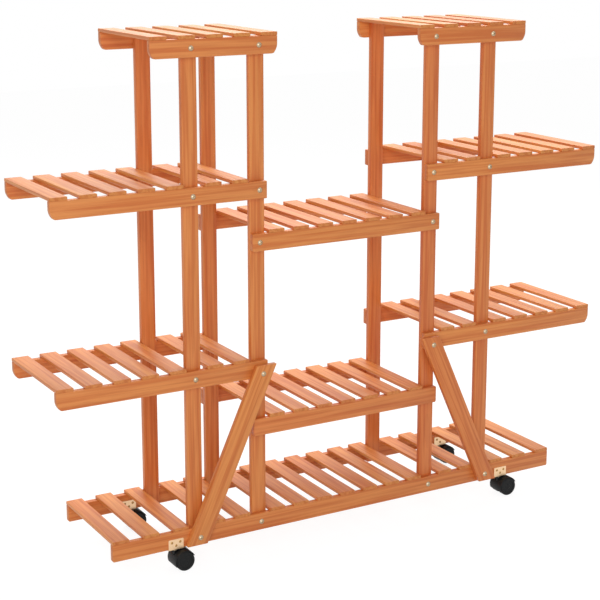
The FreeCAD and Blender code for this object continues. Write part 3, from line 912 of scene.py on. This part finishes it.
def make_rail(node, sizes):
    low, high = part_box(node)
    rail = block(node + "_board", low, high)
    for end_x, inward, swept in zip((low.x, high.x), (1, -1), swept_ends(node)):
        corner_x = end_x
        if swept:
            sweep_end(rail, end_x, inward, low.z, sizes)
            corner_x = end_x + inward * sizes.sweep_inset
        round_corner(rail, corner_x, low.z, sizes.corner, segments=3)
        round_corner(rail, end_x, high.z, sizes.top_corner, segments=2)
    ease_sharp_edges(rail, sizes.easing)
    smooth(rail)
    mark_grain(rail, ALONG_X, ALONG_Z, random.Random(node), RAIL_STAIN)
    finish_piece(rail, node, wood())


def make_post(node, sizes):
    low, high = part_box(node)
    post = block(node + "_board", low, high)
    round_edges(post, lambda a, b: abs(a.z - b.z) > MM, sizes.easing, segments=2)
    ease_sharp_edges(post, sizes.end_easing, segments=1)
    smooth(post)
    mark_grain(post, ALONG_Z, ALONG_X, random.Random(node), POST_STAIN)
    finish_piece(post, node, wood())


def make_brace(node, sizes):
    """A slanted board with level ends, worked out from its node's box and its width."""
    low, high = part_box(node)
    across, height, width = high.x - low.x, high.z - low.z, sizes.brace_width
    slope = (across * height - width * math.sqrt(across**2 + height**2 - width**2)) / (height**2 - width**2)
    lean = slope * height * (-1 if node.startswith("right") else 1)
    if lean < 0:
        brace = block(node + "_board", low - Vector((lean, 0, 0)), high)
    else:
        brace = block(node + "_board", low, high - Vector((lean, 0, 0)))
    choose(brace, "VERT", lambda v: v.z > (low.z + high.z) / 2)
    bpy.ops.transform.translate(value=(lean, 0, 0))
    stop_editing()
    start_editing(brace)
    bpy.ops.mesh.select_all(action="SELECT")
    bevel(sizes.easing, segments=2)
    stop_editing()
    smooth(brace)
    along = Vector((lean, 0, height)).normalized()
    mark_grain(brace, along, along.cross(ALONG_Y), random.Random(node), RAIL_STAIN)
    finish_piece(brace, node, wood())


def make_boards(ending, make, sizes):
    """Make the boards of every node whose name has that ending."""
    for node in NODES:
        if node.endswith(ending):
            make(node, sizes)
    return {"FINISHED"}


class PLANTSTAND_OT_slats(bpy.types.Operator):
    """Make the slats of every shelf"""

    bl_idname = "plant_stand.slats"
    bl_label = "Slats"

    def execute(self, context):
        return make_boards("_slats", make_slats, context.scene.stand_boards)


class PLANTSTAND_OT_rails(bpy.types.Operator):
    """Make the rails that carry the slats"""

    bl_idname = "plant_stand.rails"
    bl_label = "Rails"

    def execute(self, context):
        return make_boards("_rail", make_rail, context.scene.stand_boards)


class PLANTSTAND_OT_posts(bpy.types.Operator):
    """Make the upright posts"""

    bl_idname = "plant_stand.posts"
    bl_label = "Posts"

    def execute(self, context):
        return make_boards("_post", make_post, context.scene.stand_boards)


class PLANTSTAND_OT_braces(bpy.types.Operator):
    """Make the slanted braces on the front"""

    bl_idname = "plant_stand.braces"
    bl_label = "Braces"

    def execute(self, context):
        return make_boards("_brace", make_brace, context.scene.stand_boards)


# ---------------------------------------------------------------- fasteners
class PLANTSTAND_OT_fasteners(bpy.types.Operator):
    """Give the bolts, nuts, screws and pins their plated finish"""

    bl_idname = "plant_stand.fasteners"
    bl_label = "Fasteners"

    def execute(self, context):
        bright = plated_steel("Bright zinc plate", linear("#BCAA8E"), 0.26, 0.42)
        for node in ("rail_bolts", "brace_bolts", "insert_nuts", "low_bridge_screws", "caster_stems"):
            dress_node(node, bright)
        for caster in CASTERS:
            dress_node(caster + "_axle", bright)
        # The caster screws are the brackets' yellow zinc, drawn darker as painted shade for the holes they sit in,
        # not a duller plating.
        dress_node("caster_screws", plated_steel("Dulled yellow zinc plate", linear("#BE9760"), 0.4, 0.55))
        return {"FINISHED"}


# ---------------------------------------------------------------- caster pieces
def joint_place(name):
    for joint in frame["joints"]:
        if joint["name"] == name:
            return Vector(joint["pos_m"])
    raise ValueError(f"no joint is called {name}")


def make_brackets(node, sizes):
    """Bent-sheet channels that straddle the lower edge of the base rails."""
    low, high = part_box(node)
    spans = spans_along_x(node)
    channels = []
    for caster in CASTERS:
        swivel = joint_place(caster + "_swivel")
        rail_low, rail_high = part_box("base_" + caster.split("_")[0] + "_rail")
        start, end = next(span for span in spans if span[0] < swivel.x < span[1])
        floor_z = low.z + sizes.base_sheet
        plate_low = Vector((start, rail_low.y - sizes.sheet, low.z))
        plate_high = Vector((end, rail_high.y + sizes.sheet, floor_z))
        channel = block("channel", plate_low, plate_high)
        start_editing(channel)
        for edge_y in (rail_low.y, rail_high.y):
            bpy.ops.mesh.select_all(action="SELECT")
            bpy.ops.mesh.bisect(plane_co=(0, edge_y, 0), plane_no=(0, 1, 0))
        choose(channel, "FACE", lambda c, n: n.z > 0.9 and not rail_low.y < c.y < rail_high.y)
        bpy.ops.mesh.extrude_region_move(TRANSFORM_OT_translate={"value": (0, 0, high.z - floor_z)})
        round_edges(
            channel,
            lambda a, b: abs(a.x - b.x) > MM
            and max(a.z, b.z) < low.z + NEAR
            and not rail_low.y - NEAR < a.y < rail_high.y + NEAR,
            sizes.bend,
            segments=4,
        )
        round_edges(
            channel,
            lambda a, b: abs(a.x - b.x) < NEAR and min(a.z, b.z) > high.z - NEAR,
            sizes.leg_corner,
            segments=4,
        )
        smooth(channel)
        channels.append(channel)
    plate = plated_steel("Yellow zinc plate", linear("#F2CFA6"), 0.3, 0.45)
    finish_piece(joined(node + "_sheet", channels), node, plate)


def make_hood(caster, sizes):
    """A hood around its axle: a shell over both treads, a plate between the wheels and the stem's boss."""
    low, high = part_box(caster + "_hood")
    swivel = joint_place(caster + "_swivel")
    axle = joint_place(caster + "_front_wheel_spin")
    outer = high.z - axle.z
    inner = outer - sizes.shell
    web_low, web_high = swivel.y - sizes.web / 2, swivel.y + sizes.web / 2

    shell = drum("shell", inner, low.y, high.y, axle.x, axle.z, ends="NOTHING")
    below = (math.sin(sizes.cover_tilt), 0, -math.cos(sizes.cover_tilt))
    keep_side(shell, (axle.x, 0, axle.z), below, fill=False)
    apply_modifier(shell, "SOLIDIFY", thickness=sizes.shell, offset=1.0)
    round_edges(
        shell,
        lambda a, b: all(
            min(v.y - low.y, high.y - v.y) < NEAR
            and math.hypot(v.x - axle.x, v.z - axle.z) > inner + sizes.shell / 2
            for v in (a, b)
        ),
        sizes.lip,
        segments=3,
    )

    plate = drum("plate", outer - sizes.shell / 2, web_low, web_high, axle.x, axle.z)
    keep_side(plate, (0, 0, axle.z - sizes.web_drop), (0, 0, -1), fill=True)

    boss = pillar("boss", sizes.boss_radius, axle.z + sizes.boss_radius, high.z, swivel.x, swivel.y)
    round_edges(boss, lambda a, b: min(a.z, b.z) > high.z - NEAR, sizes.boss_easing, segments=3)
    for cut_low, cut_high in ((low.y - MM, web_low), (web_high, high.y + MM)):
        combine(boss, drum("cutter", inner, cut_low, cut_high, axle.x, axle.z), "DIFFERENCE")

    combine(shell, plate, "UNION")
    combine(shell, boss, "UNION")
    stem_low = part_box("caster_stems")[0].z
    bore = pillar("bore", sizes.stem_radius + sizes.running_gap, stem_low, high.z + MM, swivel.x, swivel.y)
    combine(shell, bore, "DIFFERENCE")
    axle_low, axle_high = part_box(caster + "_axle")
    axle_radius = (axle_high.z - axle_low.z) / 2 + sizes.running_gap
    hole = drum("hole", axle_radius, web_low - MM, web_high + MM, axle.x, axle.z, PIN_SIDES)
    combine(shell, hole, "DIFFERENCE")
    smooth(shell)
    return shell


def make_wheel(node, outward, sizes):
    """A wheel with rounded shoulders, a dished outer face with a hub cap, and a hollow inner side."""
    low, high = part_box(node)
    centre = (low + high) / 2
    radius = (high.z - low.z) / 2
    face_y, back_y = (high.y, low.y) if outward > 0 else (low.y, high.y)
    wheel = drum(node + "_moulding", radius, low.y, high.y, centre.x, centre.z, WHEEL_SIDES)

    def shift_y(distance):
        bpy.ops.transform.translate(value=(0, outward * distance, 0))

    def sink(distance):
        bpy.ops.mesh.extrude_region_move(
            TRANSFORM_OT_translate={"value": (0, outward * distance, 0)}
        )

    choose(wheel, "FACE", lambda c, n: abs(c.y - face_y) < NEAR and abs(n.y) > 0.9)
    bpy.ops.mesh.inset(thickness=radius - sizes.dish_radius)
    bpy.ops.mesh.inset(thickness=sizes.dish_slope)
    shift_y(-sizes.dish)
    bpy.ops.mesh.inset(thickness=sizes.dish_radius - sizes.cap_radius - 2 * sizes.dish_slope)
    bpy.ops.mesh.inset(thickness=sizes.dish_slope)
    shift_y(sizes.cap_rise)
    bpy.ops.mesh.inset(thickness=sizes.cap_radius / 2)
    shift_y(sizes.cap_crown)

    web_depth = abs(face_y - back_y) - sizes.dish - sizes.wheel_web
    choose(wheel, "FACE", lambda c, n: abs(c.y - back_y) < NEAR and abs(n.y) > 0.9)
    bpy.ops.mesh.inset(thickness=sizes.rim)
    sink(web_depth)
    bpy.ops.mesh.inset(thickness=radius - sizes.rim - sizes.hub_radius)
    sink(-web_depth)
    for y, rounding, steps in ((face_y, sizes.shoulder, 4), (back_y, sizes.inner_shoulder, 2)):
        round_edges(wheel, lambda a, b: on_circle(a, b, centre, radius, y), rounding, steps)
    smooth(wheel)
    return wheel


def on_circle(a, b, centre, radius, y):
    """Whether an edge lies on the circle of that radius about the axle, at that Y."""
    return all(
        abs(v.y - y) < NEAR and abs(math.hypot(v.x - centre.x, v.z - centre.z) - radius) < NEAR
        for v in (a, b)
    )


class PLANTSTAND_OT_brackets(bpy.types.Operator):
    """Make the sheet-metal brackets that hold the casters"""

    bl_idname = "plant_stand.brackets"
    bl_label = "Caster brackets"

    def execute(self, context):
        make_brackets("caster_brackets", context.scene.stand_casters)
        return {"FINISHED"}


class PLANTSTAND_OT_casters(bpy.types.Operator):
    """Make the hoods and wheels of the casters"""

    bl_idname = "plant_stand.casters"
    bl_label = "Casters"

    def execute(self, context):
        sizes = context.scene.stand_casters
        hood_plastic = moulded_plastic("Black nylon", linear("#131415"), 0.5, 0.42, 0.55)
        tread_plastic = moulded_plastic("Black polypropylene", linear("#101112"), 0.7, 0.36, 0.52)
        model = CASTERS[0]
        originals = {
            "_hood": make_hood(model, sizes),
            "_front_wheel": make_wheel(model + "_front_wheel", -1, sizes),
            "_back_wheel": make_wheel(model + "_back_wheel", 1, sizes),
        }
        for part, original in originals.items():
            finish = hood_plastic if part == "_hood" else tread_plastic
            for caster in CASTERS:
                offset = joint_place(caster + "_swivel") - joint_place(model + "_swivel")
                piece = copied(original, caster + part + "_moulding", offset)
                finish_piece(piece, caster + part, finish)
            bpy.data.objects.remove(original)
        return {"FINISHED"}


# ---------------------------------------------------------------- stage
class PLANTSTAND_OT_stage(bpy.types.Operator):
    """Set up the floor, the soft studio light and the camera"""

    bl_idname = "plant_stand.stage"
    bl_label = "Stage"

    def execute(self, context):
        setup = context.scene.stand_stage
        make_floor(setup)
        make_world(setup)
        make_lamp("Overhead softbox", setup.overhead_place, setup.overhead, setup)
        make_lamp("Front softbox", setup.front_place, setup.front, setup)
        make_camera(setup)
        context.scene.view_settings.view_transform = "Standard"
        return {"FINISHED"}


def seen_ray(tree):
    """1 for rays that a viewer sees directly, in a mirror or through glass, else 0."""
    path = add_node(tree, "ShaderNodeLightPath")
    first = add_node(
        tree,
        "ShaderNodeMath",
        {0: path.outputs["Is Camera Ray"], 1: path.outputs["Is Glossy Ray"]},
        operation="MAXIMUM",
    )
    second = add_node(
        tree,
        "ShaderNodeMath",
        {0: first.outputs[0], 1: path.outputs["Is Transmission Ray"]},
        operation="MAXIMUM",
    )
    return second.outputs[0]


def make_floor(setup):
    start_fresh()
    bpy.ops.mesh.primitive_plane_add(size=setup.floor_size)
    floor = named("floor")
    # White paint on board, without any gloss: it takes the stand's soft shadow and is otherwise
    # as white as the background. Its colour is uneven by a few per cent, over 25 mm.
    material, tree, board = new_material("Matt white board")
    board.inputs["Roughness"].default_value = 0.9
    board.inputs["Specular IOR Level"].default_value = 0.0
    place = add_node(tree, "ShaderNodeTexCoord").outputs["Object"]
    fleck = add_node(tree, "ShaderNodeTexNoise", {"Vector": place, "Scale": 40.0, "Detail": 3.0})
    shade = add_node(
        tree, "ShaderNodeMapRange", {"Value": fleck.outputs["Fac"], "To Min": 0.80, "To Max": 0.84}
    )
    tree.links.new(shade.outputs["Result"], board.inputs["Base Color"])
    white = add_node(tree, "ShaderNodeEmission", {"Strength": setup.floor_glow})
    share = add_node(
        tree, "ShaderNodeMath", {0: seen_ray(tree), 1: setup.floor_white}, operation="MULTIPLY"
    )
    mixed = add_node(
        tree,
        "ShaderNodeMixShader",
        {0: share.outputs[0], 1: board.outputs[0], 2: white.outputs[0]},
    )
    tree.links.new(mixed.outputs[0], tree.nodes["Material Output"].inputs["Surface"])
    floor.data.materials.append(material)


def make_world(setup):
    """White all round for the eye, and an even fill light on the stand."""
    world = bpy.data.worlds.new("Studio")
    bpy.context.scene.world = world
    world.use_nodes = True
    tree = world.node_tree
    strength = add_node(
        tree,
        "ShaderNodeMapRange",
        {"Value": seen_ray(tree), "To Min": setup.fill, "To Max": 1.0},
    )
    background = tree.nodes["Background"]
    background.inputs["Color"].default_value = (1.0, 1.0, 1.0, 1.0)
    tree.links.new(strength.outputs["Result"], background.inputs["Strength"])


def make_lamp(name, place, power, setup):
    """A square softbox aimed at the middle of the stand."""
    lamp = bpy.data.lights.new(name, "AREA")
    lamp.size = setup.lamp_size
    lamp.energy = power
    holder = bpy.data.objects.new(name, lamp)
    holder.location = place
    middle = (Vector(CAD_BOX[0]) + Vector(CAD_BOX[1])) / 2
    holder.rotation_euler = (Vector(place) - middle).to_track_quat("Z", "Y").to_euler()
    bpy.context.scene.collection.objects.link(holder)


def make_camera(setup):
    """A camera at the photograph's viewing angle."""
    camera = bpy.data.cameras.new("Camera")
    camera.sensor_width = 36
    camera.lens = setup.camera_lens
    camera.shift_y = -setup.camera_drop
    holder = bpy.data.objects.new("Camera", camera)
    holder.location = setup.camera_place
    holder.rotation_euler = (math.pi / 2 - setup.camera_tilt, 0, setup.camera_heading)
    bpy.context.scene.collection.objects.link(holder)
    bpy.context.scene.camera = holder


# ---------------------------------------------------------------- add-on
class PLANTSTAND_PT_panel(bpy.types.Panel):
    """Sizes, colours and making steps of the plant stand"""

    bl_label = "Plant Stand"
    bl_idname = "PLANTSTAND_PT_panel"
    bl_space_type = "VIEW_3D"
    bl_region_type = "UI"
    bl_category = "Plant Stand"

    def draw(self, context):
        layout = self.layout
        for settings in ("stand_boards", "stand_wood", "stand_casters", "stand_stage"):
            group = getattr(context.scene, settings)
            box = layout.box()
            for name in group.__annotations__:
                box.prop(group, name)
        for operator in OPERATORS:
            layout.operator(operator.bl_idname)


GROUPS = {
    "stand_boards": BoardSizes,
    "stand_wood": WoodLook,
    "stand_casters": CasterSizes,
    "stand_stage": StageSetup,
}
OPERATORS = (
    PLANTSTAND_OT_slats,
    PLANTSTAND_OT_rails,
    PLANTSTAND_OT_posts,
    PLANTSTAND_OT_braces,
    PLANTSTAND_OT_fasteners,
    PLANTSTAND_OT_brackets,
    PLANTSTAND_OT_casters,
    PLANTSTAND_OT_stage,
)


def register():
    for group in GROUPS.values():
        bpy.utils.register_class(group)
    for name, group in GROUPS.items():
        setattr(bpy.types.Scene, name, bpy.props.PointerProperty(type=group))
    for operator in OPERATORS:
        bpy.utils.register_class(operator)
    bpy.utils.register_class(PLANTSTAND_PT_panel)


def unregister():
    bpy.utils.unregister_class(PLANTSTAND_PT_panel)
    for operator in reversed(OPERATORS):
        bpy.utils.unregister_class(operator)
    for name, group in GROUPS.items():
        delattr(bpy.types.Scene, name)
        bpy.utils.unregister_class(group)


def main():
    register()
    bpy.ops.plant_stand.slats()
    bpy.ops.plant_stand.rails()
    bpy.ops.plant_stand.posts()
    bpy.ops.plant_stand.braces()
    bpy.ops.plant_stand.fasteners()
    bpy.ops.plant_stand.brackets()
    bpy.ops.plant_stand.casters()
    bpy.ops.plant_stand.stage()


if __name__ == "__main__":
    main()
